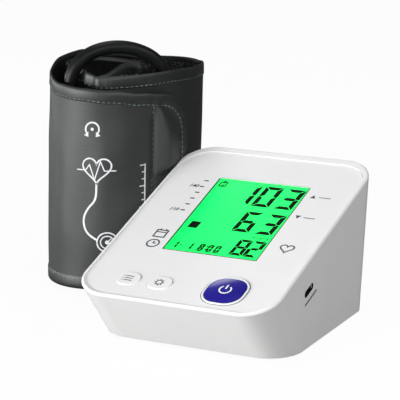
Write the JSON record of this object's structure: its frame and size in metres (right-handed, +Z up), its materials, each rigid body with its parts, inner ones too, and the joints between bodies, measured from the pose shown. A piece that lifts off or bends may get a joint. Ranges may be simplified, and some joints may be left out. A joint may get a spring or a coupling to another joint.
{
  "type": "upper arm blood pressure monitor",
  "caption": "White desktop upper-arm blood pressure monitor with a sloping face, green display and three buttons, beside its rolled dark grey cuff with air hose.",
  "frame": {"origin": "middle of the set's footprint on the table, cuff and monitor together", "axes": "+X to the right seen from the monitor's front, +Y from its low front edge to its high back edge, +Z up"},
  "size_m": [0.1948, 0.1854, 0.1431],
  "materials": {
    "case_white": "satin moulded",
    "face_white": "smooth sheet",
    "window_clear": "clear",
    "lcd_glass": "clear",
    "backlight_green": "glowing",
    "grey_plastic": "matte",
    "button_blue": "gloss",
    "button_white": "satin",
    "ring_white": "gloss",
    "board_green": "solder mask",
    "chip_black": "matte",
    "steel": "plain",
    "chrome": "plated",
    "cell_sleeve": "printed sleeve",
    "motor_steel": "plated",
    "grey_rubber": "matte",
    "clear_tube": "translucent",
    "hose_black": "satin",
    "cuff_nylon": "coated weave",
    "cuff_lining": "soft knit",
    "edge_tape": "woven tape",
    "hook_loop": "hook and loop",
    "bladder_grey": "smooth",
    "plug_black": "satin"
  },
  "bodies": {
    "monitor": {"upper_housing": "case_white", "base_cover": "case_white", "face_panel": "face_white", "display_window": "window_clear", "lcd_glass": "lcd_glass", "lcd_backlight": "backlight_green", "lcd_holder": "grey_plastic", "zebra_strip": "grey_rubber", "start_ring": "ring_white", "tact_switches": "chip_black", "main_board": "board_green", "board_parts": "chip_black", "board_screws": "steel", "buzzer": "chip_black", "usb_socket": "chrome", "usb_board": "board_green", "battery_contacts": "steel", "battery_springs": "steel", "rubber_feet": "grey_rubber", "case_screws": "steel", "motor_can": "motor_steel", "pump_head": "grey_plastic", "pump_diaphragm": "grey_rubber", "pump_cradle": "grey_rubber", "air_tee": "grey_plastic", "air_tubes": "clear_tube", "pressure_sensor": "chip_black", "air_socket": "grey_plastic", "valve_body": "grey_plastic", "battery_cell_1": "cell_sleeve", "battery_cell_2": "cell_sleeve", "battery_cell_3": "cell_sleeve", "battery_cell_4": "cell_sleeve"},
    "start_button": {"start_button": "button_blue"},
    "memory_button": {"memory_button": "button_white"},
    "set_button": {"set_button": "button_white"},
    "battery_door": {"battery_door": "case_white"},
    "pump_rotor": {"pump_rotor": "steel"},
    "valve_plunger": {"valve_plunger": "steel"},
    "cuff": {"cuff_tail": "cuff_nylon", "cuff_band": "cuff_nylon", "tail_lining": "cuff_lining", "band_lining": "cuff_lining", "tail_binding": "edge_tape", "band_binding": "edge_tape", "air_bladder": "bladder_grey", "hook_patch": "hook_loop", "loop_patch": "hook_loop", "hose_port": "plug_black", "hose": "hose_black", "air_plug": "plug_black"}
  },
  "joints": [
    {"name": "start_button_press", "type": "slide", "parent": "monitor", "child": "start_button", "axis": [0, 0.3173, -0.9483], "range_m": [0, 0.0008], "stiffness_N_per_m": 500, "springref_m": -0.001},
    {"name": "memory_button_press", "type": "slide", "parent": "monitor", "child": "memory_button", "axis": [0, 0.3173, -0.9483], "range_m": [0, 0.0008], "stiffness_N_per_m": 500, "springref_m": -0.001},
    {"name": "set_button_press", "type": "slide", "parent": "monitor", "child": "set_button", "axis": [0, 0.3173, -0.9483], "range_m": [0, 0.0008], "stiffness_N_per_m": 500, "springref_m": -0.001},
    {"name": "battery_door_hinge", "type": "hinge", "parent": "monitor", "child": "battery_door", "pos_m": [0.04044, -0.03642, 0.0012], "axis": [-1, 0, 0], "range_deg": [0, 80]},
    {"name": "pump_spin", "type": "hinge", "parent": "monitor", "child": "pump_rotor", "pos_m": [0.04044, 0.00248, 0.0334], "axis": [1, 0, 0], "continuous": true},
    {"name": "valve_stroke", "type": "slide", "parent": "monitor", "child": "valve_plunger", "axis": [0, 1, 0], "range_m": [0, 0.0008], "stiffness_N_per_m": 300, "springref_m": -0.001},
    {"name": "cuff_lift", "type": "slide", "parent": "monitor", "child": "cuff", "axis": [0, 0, 1], "range_m": [0, 0.15]}
  ]
}
